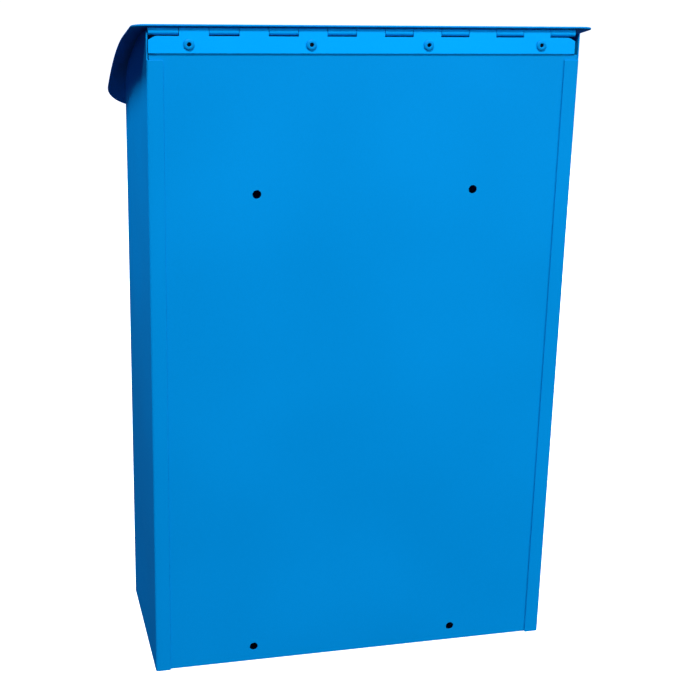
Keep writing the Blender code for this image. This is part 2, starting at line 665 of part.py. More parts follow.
def lock_place():
    return frame_matrix(LOCK_FACE, (1, 0, 0), (0, 0, 1), (0, -1, 0))


def add_lock_body(parent):
    lip_seat = PLUG_LIP_RADIUS + GAP
    bore = PLUG_RADIUS + GAP
    head = GAP + LOCK_HEAD_HEIGHT
    chamfer = LOCK_HEAD_HEIGHT * CHAMFER_SHARE
    profile = [(bore, -BARREL_END), (LOCK_BARREL_RADIUS, -BARREL_END), (LOCK_BARREL_RADIUS, GAP),
               (LOCK_HEAD_RADIUS, GAP), (LOCK_HEAD_RADIUS, head - chamfer),
               (LOCK_HEAD_RADIUS - chamfer, head), (lip_seat, head),
               (lip_seat, head - PLUG_LIP - GAP), (bore, head - PLUG_LIP - GAP)]
    bm = bmesh.new()
    add_turned(bm, profile, LOCK_STEPS, lock_place())
    add_object("lock_body", bm, CHROME, parent, smooth=True)


def add_lock_nut(parent):
    corner = NUT_FLATS / 2 / math.cos(math.pi / 6)
    top = -SHEET - GAP
    bm = bmesh.new()
    add_rod(bm, corner, top - NUT_HEIGHT, top, 6, lock_place())
    nut = add_object("lock_nut", bm, PLATED, parent)
    bm = bmesh.new()
    add_rod(bm, LOCK_BARREL_RADIUS + GAP, -BEYOND, 0, LOCK_STEPS, lock_place())
    boolean(nut, add_object("lock_nut_cutter", bm, parent=parent))


def square(side):
    half = side / 2
    return [(-half, -half), (half, -half), (half, half), (-half, half)]


def add_lock_plug(parent):
    front = GAP + LOCK_HEAD_HEIGHT
    profile = [(0, -BARREL_END), (PLUG_RADIUS, -BARREL_END), (PLUG_RADIUS, front - PLUG_LIP),
               (PLUG_LIP_RADIUS, front - PLUG_LIP), (PLUG_LIP_RADIUS, front), (0, front)]
    bm = bmesh.new()
    add_turned(bm, profile, LOCK_STEPS, lock_place())
    plug = add_object("lock_plug", bm, CHROME, parent, smooth=True)
    tail_end = CAM_BACK + CAM_THICKNESS - GAP
    bm = bmesh.new()
    add_prism(bm, square(TAIL_SIDE), -tail_end, -BARREL_END + GAP, lock_place())
    boolean(plug, add_object("lock_plug_tail", bm, parent=parent), "UNION")
    wide, tall, deep = KEYWAY
    keyway = [(-wide / 2, -tall / 2), (wide / 2, -tall / 2), (wide / 2, tall / 2), (-wide / 2, tall / 2)]
    bm = bmesh.new()
    add_prism(bm, keyway, front - deep, front + BEYOND, lock_place())
    hole_end = tail_end - CAM_SCREW_LENGTH - GAP
    add_rod(bm, CAM_SCREW_RADIUS + GAP, -tail_end - BEYOND, -hole_end, RIVET_STEPS, lock_place())
    boolean(plug, add_object("lock_plug_cutter", bm, parent=parent))


def add_lock_cam(parent):
    """Bar with round ends that hangs straight down when the door is unlocked."""
    radius = CAM_WIDTH / 2
    reach = LOCK_INSET + DOOR_CLEARANCE + CAM_OVERLAP - radius
    outline = []
    for centre, start in ((0, 0), (-reach, 180)):
        for step in range(CAM_STEPS + 1):
            angle = math.radians(start + 180 * step / CAM_STEPS)
            outline.append((radius * math.cos(angle), centre + radius * math.sin(angle)))
    bm = bmesh.new()
    add_prism(bm, outline, -CAM_BACK - CAM_THICKNESS, -CAM_BACK, lock_place())
    cam = add_object("lock_cam", bm, PLATED, parent)
    bm = bmesh.new()
    add_prism(bm, square(TAIL_SIDE + 2 * GAP), -CAM_BACK - BEYOND, -CAM_BACK + BEYOND / 2, lock_place())
    boolean(cam, add_object("lock_cam_cutter", bm, parent=parent))


def add_cam_screw(parent):
    under = -CAM_BACK - CAM_THICKNESS - GAP
    end = under - CAM_SCREW_HEAD_HEIGHT
    profile = [(0, under + CAM_SCREW_LENGTH), (CAM_SCREW_RADIUS, under + CAM_SCREW_LENGTH),
               (CAM_SCREW_RADIUS, under), (CAM_SCREW_HEAD, under),
               (CAM_SCREW_HEAD, end + CAM_SCREW_HEAD_HEIGHT * CHAMFER_SHARE),
               (CAM_SCREW_HEAD * CAM_SCREW_CROWN, end), (0, end)]
    bm = bmesh.new()
    add_turned(bm, profile[::-1], RIVET_STEPS, lock_place())
    screw = add_object("cam_screw", bm, PLATED, parent, smooth=True)
    wide, deep = SLOT
    slot = [(-wide / 2, -BEYOND), (wide / 2, -BEYOND), (wide / 2, BEYOND), (-wide / 2, BEYOND)]
    bm = bmesh.new()
    add_prism(bm, slot, end - BEYOND, end + deep, lock_place())
    boolean(screw, add_object("cam_screw_cutter", bm, parent=parent))


def main():
    for old in list(bpy.data.objects):
        bpy.data.objects.remove(old, do_unlink=True)
    lid_axis = add_axis("lid_axis", LID_AXIS)
    door_axis = add_axis("door_axis", DOOR_AXIS)
    plug_axis = add_axis("plug_axis", LOCK_FACE)
    add_side_panel("side_panel_left", -1)
    add_side_panel("side_panel_right", 1)
    add_back_panel()
    add_floor_tray()
    add_front_panel()
    add_mail_chute()
    add_lid(lid_axis)
    add_door(door_axis)
    add_lock_body(door_axis)
    add_lock_nut(door_axis)
    add_lock_plug(plug_axis)
    add_lock_cam(plug_axis)
    add_cam_screw(plug_axis)


main()
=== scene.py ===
import math

import bmesh
import bpy
from mathutils import Matrix, Quaternion, Vector


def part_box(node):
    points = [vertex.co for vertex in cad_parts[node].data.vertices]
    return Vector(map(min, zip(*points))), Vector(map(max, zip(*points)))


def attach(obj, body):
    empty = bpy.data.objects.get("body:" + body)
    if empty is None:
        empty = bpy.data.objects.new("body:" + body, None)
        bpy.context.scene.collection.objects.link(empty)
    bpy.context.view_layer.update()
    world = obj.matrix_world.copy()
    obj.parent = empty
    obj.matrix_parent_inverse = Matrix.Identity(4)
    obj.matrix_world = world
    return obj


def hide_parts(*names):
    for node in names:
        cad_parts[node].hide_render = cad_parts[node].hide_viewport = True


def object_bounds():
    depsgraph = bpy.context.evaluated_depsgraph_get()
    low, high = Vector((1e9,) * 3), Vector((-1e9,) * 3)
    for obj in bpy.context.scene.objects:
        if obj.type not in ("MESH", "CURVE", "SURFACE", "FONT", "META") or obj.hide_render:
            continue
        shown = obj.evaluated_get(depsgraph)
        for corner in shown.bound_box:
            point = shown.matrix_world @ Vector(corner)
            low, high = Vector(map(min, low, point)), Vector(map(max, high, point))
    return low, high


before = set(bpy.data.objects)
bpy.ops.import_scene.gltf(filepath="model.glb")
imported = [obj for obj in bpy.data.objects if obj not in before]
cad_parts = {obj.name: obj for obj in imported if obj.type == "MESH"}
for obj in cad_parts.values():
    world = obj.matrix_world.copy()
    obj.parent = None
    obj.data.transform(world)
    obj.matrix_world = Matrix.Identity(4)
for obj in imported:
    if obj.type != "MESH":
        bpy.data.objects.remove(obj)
frameLow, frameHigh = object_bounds()

# Wall mailbox seen from behind. The wall is on the +Y side and the front faces -Y.
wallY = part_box("side_panel_left")[1].y
smallest = 1e-6


# Camera, floor and light

studio = {
    "eye": (0.3336, 1.3083, 0.6913),
    "aim": (0.0139, 0.1266, 0.3113),
    "roll": math.radians(1.57),
    "lens": 72.68,
    "sensor": 36,
    "floorRadius": 30,
    "floorSides": 64,
    "floorColour": (0.80, 0.80, 0.81, 1),
    "bounceColour": (0.015, 0.02, 0.04, 1),
    "floorGlow": 1.0,
    "glowColour": (1, 1, 1, 1),
    "floorRoughness": 0.8,
    "skyColour": (0.12, 0.34, 1.0, 1),
    "skyStrength": 0.42,
    "horizonShare": 0.12,      # of the sky's strength, low down
    "fullSkyAt": 0.8,          # upward part of the direction where the sky is at full strength
    "seenColour": (1, 1, 1, 1),
    "seenStrength": 1.0,
}

# "gloss" is whether a lamp shows in reflections, and "only" lists the pieces that it lights
lamps = {
    "keyLamp": {"place": (0.77, 2.40, 3.65), "size": 0.80, "power": 166,
                "colour": (1, 1, 1), "gloss": True},
    "sideLamp": {"place": (0.46, 0.04, 1.60), "size": 0.16, "power": 31,
                 "colour": (0.36, 0.90, 1), "gloss": False, "only": ["sidePanelRight"]},
    "fillLamp": {"place": (-1.60, 2.30, 1.00), "size": 1.6, "power": 36,
                 "colour": (1, 1, 1), "gloss": False},
    "frontLamp": {"place": (-0.80, -2.30, 1.70), "size": 1.5, "power": 60,
                  "colour": (1, 1, 1), "gloss": True},
    "lockLamp": {"place": (0.35, -1.30, 0.45), "size": 0.9, "power": 6,
                 "colour": (1, 1, 1), "gloss": True, "only": ["lockBody", "lockPlug"]},
}


def makeCamera():
    data = bpy.data.cameras.new("studioCamera")
    data.lens = studio["lens"]
    data.sensor_width = studio["sensor"]
    camera = bpy.data.objects.new("studioCamera", data)
    bpy.context.scene.collection.objects.link(camera)
    towards = Vector(studio["aim"]) - Vector(studio["eye"])
    camera.location = studio["eye"]
    camera.rotation_mode = "QUATERNION"
    camera.rotation_quaternion = (towards.to_track_quat("-Z", "Y")
                                  @ Quaternion((0, 0, 1), studio["roll"]))
    bpy.context.scene.camera = camera


def makeLamps():
    middle = (frameLow + frameHigh) / 2
    for name, lamp in lamps.items():
        data = bpy.data.lights.new(name, "AREA")
        data.shape = "DISK"
        data.size = lamp["size"]
        data.energy = lamp["power"]
        data.color = lamp["colour"]
        light = bpy.data.objects.new(name, data)
        bpy.context.scene.collection.objects.link(light)
        light.location = lamp["place"]
        light.visible_glossy = lamp["gloss"]
        light.rotation_mode = "QUATERNION"
        light.rotation_quaternion = (middle - light.location).to_track_quat("-Z", "Y")
        if "only" in lamp:
            lit = bpy.data.collections.new(name + "Receivers")
            for piece in lamp["only"]:
                lit.objects.link(bpy.data.objects[piece])
            light.light_linking.receiver_collection = lit


def makeSky():
    sky = bpy.data.worlds.new("studioSky")
    bpy.context.scene.world = sky
    sky.use_nodes = True
    tree = sky.node_tree
    lighting = tree.nodes["Background"]
    lighting.inputs["Color"].default_value = studio["skyColour"]
    upward = addNode(tree, "SeparateXYZ")
    tree.links.new(addNode(tree, "TexCoord").outputs["Generated"], upward.inputs[0])
    full = studio["skyStrength"]
    strength = addRange(tree, upward.outputs["Z"], 0.0, studio["fullSkyAt"],
                        full * studio["horizonShare"], full)
    tree.links.new(strength, lighting.inputs["Strength"])
    seen = tree.nodes.new("ShaderNodeBackground")
    seen.inputs["Color"].default_value = studio["seenColour"]
    seen.inputs["Strength"].default_value = studio["seenStrength"]
    path = tree.nodes.new("ShaderNodeLightPath")
    blend = tree.nodes.new("ShaderNodeMixShader")
    tree.links.new(path.outputs["Is Camera Ray"], blend.inputs[0])
    tree.links.new(lighting.outputs[0], blend.inputs[1])
    tree.links.new(seen.outputs[0], blend.inputs[2])
    tree.links.new(blend.outputs[0], tree.nodes["World Output"].inputs["Surface"])


def makeFloor():
    bm = bmesh.new()
    bmesh.ops.create_circle(bm, cap_ends=True, radius=studio["floorRadius"],
                            segments=studio["floorSides"])
    mesh = bpy.data.meshes.new("studioFloor")
    bm.to_mesh(mesh)
    bm.free()
    floor = bpy.data.objects.new("studioFloor", mesh)
    bpy.context.scene.collection.objects.link(floor)
    paint = bpy.data.materials.new("floorPaint")
    paint.use_nodes = True
    shader = paint.node_tree.nodes["Principled BSDF"]
    shader.inputs["Roughness"].default_value = studio["floorRoughness"]
    shader.inputs["Specular IOR Level"].default_value = 0.0
    shader.inputs["Emission Color"].default_value = studio["glowColour"]
    tree = paint.node_tree
    seen = addNode(tree, "LightPath").outputs["Is Camera Ray"]
    colour = mixColour(tree, seen, addColour(tree, studio["bounceColour"]),
                       addColour(tree, studio["floorColour"]))
    tree.links.new(colour, shader.inputs["Base Color"])
    glow = addMath(tree, "MULTIPLY", seen, studio["floorGlow"])
    tree.links.new(glow, shader.inputs["Emission Strength"])
    mesh.materials.append(paint)


# Shared effects, each a node group

noiseMiddle = (0.3, 0.7)       # where most of a noise lies
edgeRadius = 0.0011
edgeBreaks = (0.35, 0.65, 0.35, 1.0)    # noise range that breaks up the lightened edges, and what it becomes


def newGroup(name, inputs, outputs):
    group = bpy.data.node_groups.new(name, "ShaderNodeTree")
    for label, kind, value in inputs:
        socket = group.interface.new_socket(label, in_out="INPUT", socket_type="NodeSocket" + kind)
        if value is not None:
            socket.default_value = value
    for label, kind in outputs:
        group.interface.new_socket(label, in_out="OUTPUT", socket_type="NodeSocket" + kind)
    return group, group.nodes.new("NodeGroupInput"), group.nodes.new("NodeGroupOutput")


def addNode(tree, kind, **settings):
    node = tree.nodes.new("ShaderNode" + kind)
    for name, value in settings.items():
        setattr(node, name, value)
    return node


def addMath(tree, operation, first, second):
    node = addNode(tree, "Math", operation=operation)
    for socket, value in zip(node.inputs, (first, second)):
        if isinstance(value, (int, float)):
            socket.default_value = value
        else:
            tree.links.new(value, socket)
    return node.outputs[0]


def addNoise(tree, place, scale, detail):
    noise = addNode(tree, "TexNoise")
    noise.inputs["Detail"].default_value = detail
    tree.links.new(place, noise.inputs["Vector"])
    if isinstance(scale, (int, float)):
        noise.inputs["Scale"].default_value = scale
    else:
        tree.links.new(scale, noise.inputs["Scale"])
    return noise.outputs["Fac"]


def addRange(tree, value, fromLow, fromHigh, toLow, toHigh):
    node = addNode(tree, "MapRange")
    for label, setting in zip(("Value", "From Min", "From Max", "To Min", "To Max"),
                              (value, fromLow, fromHigh, toLow, toHigh)):
        if isinstance(setting, (int, float)):
            node.inputs[label].default_value = setting
        else:
            tree.links.new(setting, node.inputs[label])
    return node.outputs["Result"]


def multiplyColour(tree, colour, factor):
    scaled = addNode(tree, "VectorMath", operation="SCALE")
    tree.links.new(colour, scaled.inputs[0])
    tree.links.new(factor, scaled.inputs["Scale"])
    return scaled.outputs["Vector"]


def mixColour(tree, mask, first, second):
    mix = addNode(tree, "Mix", data_type="RGBA")
    tree.links.new(mask, mix.inputs["Factor"])
    tree.links.new(first, mix.inputs[6])
    tree.links.new(second, mix.inputs[7])
    return mix.outputs[2]


# Tone of a sprayed or plated surface: broad clouds and a fine speckle
def makeToneGroup():
    group, entry, leave = newGroup(
        "surfaceTone",
        [("Place", "Vector", None), ("Colour", "Color", None), ("Cloud Scale", "Float", 7.0),
         ("Cloud Amount", "Float", 0.04), ("Speckle Scale", "Float", 900.0),
         ("Speckle Amount", "Float", 0.03)],
        [("Colour", "Color"), ("Cloud", "Float")])
    cloud = addNoise(group, entry.outputs["Place"], entry.outputs["Cloud Scale"], detail=1.0)
    speckle = addNoise(group, entry.outputs["Place"], entry.outputs["Speckle Scale"], detail=3.0)
    cloudShift = addMath(group, "MULTIPLY", addRange(group, cloud, *noiseMiddle, -1.0, 1.0),
                         entry.outputs["Cloud Amount"])
    speckleShift = addMath(group, "MULTIPLY", addRange(group, speckle, *noiseMiddle, -1.0, 1.0),
                           entry.outputs["Speckle Amount"])
    factor = addMath(group, "ADD", addMath(group, "ADD", cloudShift, speckleShift), 1.0)
    group.links.new(multiplyColour(group, entry.outputs["Colour"], factor), leave.inputs["Colour"])
    group.links.new(cloud, leave.inputs["Cloud"])
    return group


# Height of the orange peel that a baked powder coat has, with the sheet's own slow wave
def makePeelGroup():
    group, entry, leave = newGroup(
        "orangePeel",
        [("Place", "Vector", None), ("Peel Scale", "Float", 420.0), ("Peel Amount", "Float", 1.0),
         ("Wave Scale", "Float", 9.0), ("Wave Amount", "Float", 12.0)],
        [("Height", "Float")])
    peel = addMath(group, "MULTIPLY",
                   addNoise(group, entry.outputs["Place"], entry.outputs["Peel Scale"], detail=2.0),
                   entry.outputs["Peel Amount"])
    wave = addMath(group, "MULTIPLY",
                   addNoise(group, entry.outputs["Place"], entry.outputs["Wave Scale"], detail=0.0),
                   entry.outputs["Wave Amount"])
    group.links.new(addMath(group, "ADD", peel, wave), leave.inputs["Height"])
    return group


# 1 along outer edges, fading to 0 on the flats, broken up by noise; materials lighten their colour
# there, partly as wear and partly as painted highlight along the edges
def makeEdgeGroup():
    group, entry, leave = newGroup(
        "edgeWearAndHighlight",
        [("Place", "Vector", None), ("Sharpness", "Float", 6.0), ("Break Scale", "Float", 160.0)],
        [("Mask", "Float")])
    rounded = addNode(group, "Bevel", samples=4)
    rounded.inputs["Radius"].default_value = edgeRadius
    surface = addNode(group, "NewGeometry")
    dot = addNode(group, "VectorMath", operation="DOT_PRODUCT")
    group.links.new(rounded.outputs["Normal"], dot.inputs[0])
    group.links.new(surface.outputs["Normal"], dot.inputs[1])
    edge = addMath(group, "SUBTRACT", 1.0, dot.outputs["Value"])
    raised = addMath(group, "MULTIPLY", edge, entry.outputs["Sharpness"])
    breaks = addNoise(group, entry.outputs["Place"], entry.outputs["Break Scale"], detail=2.0)
    broken = addRange(group, breaks, *edgeBreaks)
    mask = addMath(group, "MULTIPLY", raised, broken)
    group.links.new(addRange(group, mask, 0.0, 1.0, 0.0, 1.0), leave.inputs["Mask"])
    return group


surfaceTone = makeToneGroup()
orangePeel = makePeelGroup()
edgeWearAndHighlight = makeEdgeGroup()


def useGroup(tree, group, place, **values):
    node = addNode(tree, "Group", node_tree=group)
    tree.links.new(place, node.inputs["Place"])
    for label, value in values.items():
        node.inputs[label.replace("_", " ")].default_value = value
    return node


# Materials

powderCoat = {
    "colour": (0.0, 0.272, 0.670, 1),
    # lighter blue along the edges: painted highlight on the coat's edges
    "edgeWearAndHighlightColour": (0.004, 0.330, 0.840, 1),
    "roughness": (0.40, 0.50),
    "specular": 0.06,
    "cloudAmount": 0.035,
    "speckleAmount": 0.02,
    "peelScale": 420.0,
    "sharpness": 4.0,
    "bump": 0.00002,
}
hingePaintedHighlight = 1.40         # the hinge's coat against the panels': a brighter copy of the same coat, painted highlight for the light the leaves catch

zincPlate = {
    "colour": (0.60, 0.60, 0.57, 1),
    "edgeWearAndHighlightColour": (0.80, 0.80, 0.79, 1),
    "roughness": (0.26, 0.42),
    "cloudScale": 140.0,
    "cloudAmount": 0.12,
    "bump": 0.00001,
}

chromePlate = {
    "colour": (0.78, 0.79, 0.80, 1),
    "edgeWearAndHighlightColour": (0.90, 0.90, 0.90, 1),
    "roughness": (0.18, 0.28),
    "cloudScale": 220.0,
    "cloudAmount": 0.04,
    "bump": 0.000006,
}

platingDetail = {
    "speckleScale": 2600.0,
    "sharpness": 3.0,
    "grainScale": 3200.0,
}

# Near-black steel: painted shade for the rivets' holes and the keyway
darkSteelPaintedShade = {
    "colour": (0.020, 0.022, 0.030, 1),
    "edgeWearAndHighlightColour": (0.12, 0.12, 0.13, 1),
    "roughness": (0.45, 0.65),
    "cloudScale": 500.0,
    "cloudAmount": 0.3,
    "bump": 0.00002,
}


def startMaterial(name):
    material = bpy.data.materials.new(name)
    material.use_nodes = True
    tree = material.node_tree
    place = addNode(tree, "TexCoord").outputs["Object"]
    return material, tree, tree.nodes["Principled BSDF"], place


def addColour(tree, value):
    node = addNode(tree, "RGB")
    node.outputs[0].default_value = value
    return node.outputs[0]


# A factor above 1 makes a lighter copy of the coat, which paints light into its colour
def makePowderCoat(name, paintedHighlight=1.0):
    values = powderCoat
    material, tree, shader, place = startMaterial(name)
    red, green, blue, alpha = values["colour"]
    tone = useGroup(tree, surfaceTone, place, Cloud_Amount=values["cloudAmount"],
                    Speckle_Amount=values["speckleAmount"])
    tone.inputs["Colour"].default_value = (red * paintedHighlight, green * paintedHighlight,
                                           blue * paintedHighlight, alpha)
    edge = useGroup(tree, edgeWearAndHighlight, place, Sharpness=values["sharpness"])
    # edges take the lighter colour, a painted highlight
    colour = mixColour(tree, edge.outputs["Mask"], tone.outputs["Colour"],
                       addColour(tree, values["edgeWearAndHighlightColour"]))
    tree.links.new(colour, shader.inputs["Base Color"])
    low, high = values["roughness"]
    roughness = addRange(tree, tone.outputs["Cloud"], *noiseMiddle, low, high)
    tree.links.new(roughness, shader.inputs["Roughness"])
    shader.inputs["Specular IOR Level"].default_value = values["specular"]
    peel = useGroup(tree, orangePeel, place, Peel_Scale=values["peelScale"])
    addBump(tree, shader, peel.outputs["Height"], values["bump"])
    return material


def addBump(tree, shader, height, distance):
    bump = addNode(tree, "Bump")
    bump.inputs["Strength"].default_value = 1.0
    bump.inputs["Distance"].default_value = distance
    tree.links.new(height, bump.inputs["Height"])
    tree.links.new(bump.outputs["Normal"], shader.inputs["Normal"])


def makePlating(name, values):
    material, tree, shader, place = startMaterial(name)
    tone = useGroup(tree, surfaceTone, place, Cloud_Scale=values["cloudScale"],
                    Cloud_Amount=values["cloudAmount"],
                    Speckle_Scale=platingDetail["speckleScale"])
    tone.inputs["Colour"].default_value = values["colour"]
    edge = useGroup(tree, edgeWearAndHighlight, place, Sharpness=platingDetail["sharpness"])
    # edges take the lighter colour, partly wear and partly painted highlight
    colour = mixColour(tree, edge.outputs["Mask"], tone.outputs["Colour"],
                       addColour(tree, values["edgeWearAndHighlightColour"]))
    tree.links.new(colour, shader.inputs["Base Color"])
    low, high = values["roughness"]
    roughness = addRange(tree, tone.outputs["Cloud"], *noiseMiddle, low, high)
    tree.links.new(roughness, shader.inputs["Roughness"])
    shader.inputs["Metallic"].default_value = 1.0
    grain = addNoise(tree, place, platingDetail["grainScale"], detail=3.0)
    addBump(tree, shader, grain, values["bump"])
    return material


finishes = {
    "blue_paint": makePowderCoat("bluePowderCoat"),
    # painted highlight: the same blue coat made brighter for the lid hinge's leaves
    "leafPaintedHighlight": makePowderCoat("hingeCoatPaintedHighlight", hingePaintedHighlight),
    "plated_steel": makePlating("zincPlating", zincPlate),
    "chrome": makePlating("chromePlating", chromePlate),
    "mandrel": makePlating("darkSteelPaintedShade", darkSteelPaintedShade),
}
print("materials made")


# Mesh helpers

easedAngle = math.radians(40)  # edges sharper than this are eased
flatAngle = math.radians(0.2)  # faces nearer to level than this are joined


def placeMatrix(origin, first, second, third):
    turn = Matrix((first, second, third)).transposed().to_4x4()
    return Matrix.Translation(origin) @ turn


def linkMesh(name, bm):
    mesh = bpy.data.meshes.new(name)
    bm.to_mesh(mesh)
    bm.free()
    piece = bpy.data.objects.new(name, mesh)
    bpy.context.scene.collection.objects.link(piece)
    return piece


# Cuts, eases the edges, weights the normals and settles the piece on its body
def finishPiece(name, bm, finish, body, nodes=(), cutters=(), easing=0.00022, steps=2):
    piece = linkMesh(name, bm)
    piece.data.shade_smooth()
    for cutter, operation in cutters:
        cut = piece.modifiers.new("cut", "BOOLEAN")
        cut.object = cutter
        cut.operation = operation
        cut.solver = "EXACT"
    if easing:
        ease = piece.modifiers.new("ease", "BEVEL")
        ease.width = easing
        ease.segments = steps
        ease.limit_method = "ANGLE"
        ease.angle_limit = easedAngle
    weight = piece.modifiers.new("weight", "WEIGHTED_NORMAL")
    weight.keep_sharp = True
    evaluated = piece.evaluated_get(bpy.context.evaluated_depsgraph_get())
    piece.data = bpy.data.meshes.new_from_object(evaluated)
    piece.modifiers.clear()
    for cutter, _ in cutters:
        bpy.data.objects.remove(cutter, do_unlink=True)
    piece.data.materials.clear()
    piece.data.materials.append(finishes[finish])
    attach(piece, body)
    if nodes:
        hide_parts(*nodes)
    return piece


# Merged copy of a sheet-metal node, its triangles joined into flat faces again
def sheetCopy(node):
    bm = bmesh.new()
    bm.from_mesh(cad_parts[node].data)
    bmesh.ops.remove_doubles(bm, verts=bm.verts, dist=smallest)
    bmesh.ops.dissolve_limit(bm, angle_limit=flatAngle, verts=bm.verts, edges=bm.edges)
    return bm


# Turns a profile of (radius, height) points about the third axis of a place
def turnedShape(profile, place, steps):
    bm = bmesh.new()
    corners = [bm.verts.new((radius, 0, height)) for radius, height in profile]
    for first, second in zip(corners, corners[1:]):
        bm.edges.new((first, second))
    if profile[0][0] > 0:
        bm.edges.new((corners[-1], corners[0]))
    bmesh.ops.spin(bm, geom=corners + bm.edges[:], axis=(0, 0, 1), cent=(0, 0, 0), steps=steps,
                   angle=math.tau, use_merge=True)
    bmesh.ops.remove_doubles(bm, verts=bm.verts, dist=smallest)
    bmesh.ops.recalc_face_normals(bm, faces=bm.faces)
    bmesh.ops.transform(bm, matrix=place, verts=bm.verts)
    return bm


def addRod(bm, radius, low, high, steps, place):
    middle = Matrix.Translation((0, 0, (low + high) / 2))
    bmesh.ops.create_cone(bm, cap_ends=True, radius1=radius, radius2=radius, depth=high - low,
                          segments=steps, matrix=place @ middle)


# Panels

panels = {
    "sidePanelLeft": "side_panel_left",
    "sidePanelRight": "side_panel_right",
    "backPanel": "back_panel",
    "floorTray": "floor_tray",
    "frontPanel": "front_panel",
    "mailChute": "mail_chute",
}


def makePanels():
    for name, node in panels.items():
        finishPiece(name, sheetCopy(node), "blue_paint", "box", [node])
    finishPiece("doorPanel", sheetCopy("door_panel"), "blue_paint", "door", ["door_panel"])


# Lid

lidForm = {
    "pitch": math.radians(12.4),
    "sheet": 0.0015,
    "straight": 0.0677,        # wall plane to the start of the roll
    "rollRadius": 0.501,
    "length": 0.2783,          # wall plane to the front edge, along the top face
    "height": 0.5988,          # top face at the wall plane
    "rearOverhang": 0.003,
    "frontCorner": 0.0436,
    "frontSteps": 24,
    "rearCorner": 0.012,
    "rearSteps": 8,
    "strips": 40,
}
lidForward = Vector((0, -math.cos(lidForm["pitch"]), -math.sin(lidForm["pitch"])))
lidUp = Vector((0, -math.sin(lidForm["pitch"]), math.cos(lidForm["pitch"])))


# Point of the lid's top face, a run along it from the wall plane
def lidPoint(x, run):
    pitch, radius = lidForm["pitch"], lidForm["rollRadius"]
    flat = min(run, lidForm["straight"])
    slope = pitch + max(run - lidForm["straight"], 0) / radius
    depth = flat * math.cos(pitch) + radius * (math.sin(slope) - math.sin(pitch))
    height = lidForm["height"] - flat * math.sin(pitch) - radius * (math.cos(pitch) - math.cos(slope))
    return Vector((x, wallY - depth, height))


def roundCorners(bm, wanted, radius, steps):
    corners = [vert for vert in bm.verts if wanted(vert.co)]
    bmesh.ops.bevel(bm, geom=corners, offset=radius, offset_type="OFFSET", affect="VERTICES",
                    segments=steps, profile=0.5, material=-1)


def makeLid():
    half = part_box("lid_sheet")[1].x
    rear = -lidForm["rearOverhang"] / math.cos(lidForm["pitch"])
    bm = bmesh.new()
    bmesh.ops.create_grid(bm, x_segments=1, y_segments=1, size=1)
    bmesh.ops.scale(bm, vec=(half, (lidForm["length"] - rear) / 2, 1), verts=bm.verts)
    bmesh.ops.translate(bm, vec=(0, (lidForm["length"] + rear) / 2, 0), verts=bm.verts)
    middle = lidForm["length"] / 2
    roundCorners(bm, lambda place: place.y > middle, lidForm["frontCorner"], lidForm["frontSteps"])
    roundCorners(bm, lambda place: place.y < smallest, lidForm["rearCorner"], lidForm["rearSteps"])
    rolled = lidForm["length"] - lidForm["straight"]
    for strip in range(lidForm["strips"]):
        run = lidForm["straight"] + rolled * strip / lidForm["strips"]
        bmesh.ops.bisect_plane(bm, geom=bm.verts[:] + bm.edges[:] + bm.faces[:],
                               plane_co=(0, run, 0), plane_no=(0, 1, 0))
    for vert in bm.verts:
        vert.co = lidPoint(vert.co.x, vert.co.y)
    bmesh.ops.recalc_face_normals(bm, faces=bm.faces)
    if sum(face.normal.z for face in bm.faces) < 0:
        bmesh.ops.reverse_faces(bm, faces=bm.faces)
    bmesh.ops.solidify(bm, geom=bm.faces[:], thickness=lidForm["sheet"])
    holes = bmesh.new()
    for place in lidRivetPlaces():
        addRivetHole(holes, place)
    finishPiece("lidShell", bm, "blue_paint", "lid", ["lid_sheet"],
                [(linkMesh("lidHoles", holes), "DIFFERENCE")], easing=0.0003, steps=3)


# Continuous hinges

hingeForm = {
    "barrel": 0.0030,          # outer radius of the knuckles
    "leaf": 0.0012,
    "width": 0.0179,           # axis to free edge
    "notch": 0.0038,           # axis to the bottom of the notches
    "knuckle": 0.0254,
    "gap": 0.0004,
    "curl": math.radians(300),
    "curlSteps": 30,
    "clip": (0.006, 0.003),
    "pin": 0.0015,
    "pinSteps": 32,
    "rivetLine": 0.0105,
    "endMargin": 0.0338,
    "endTrim": 0.0016,         # cut off the lid hinge's left end
}


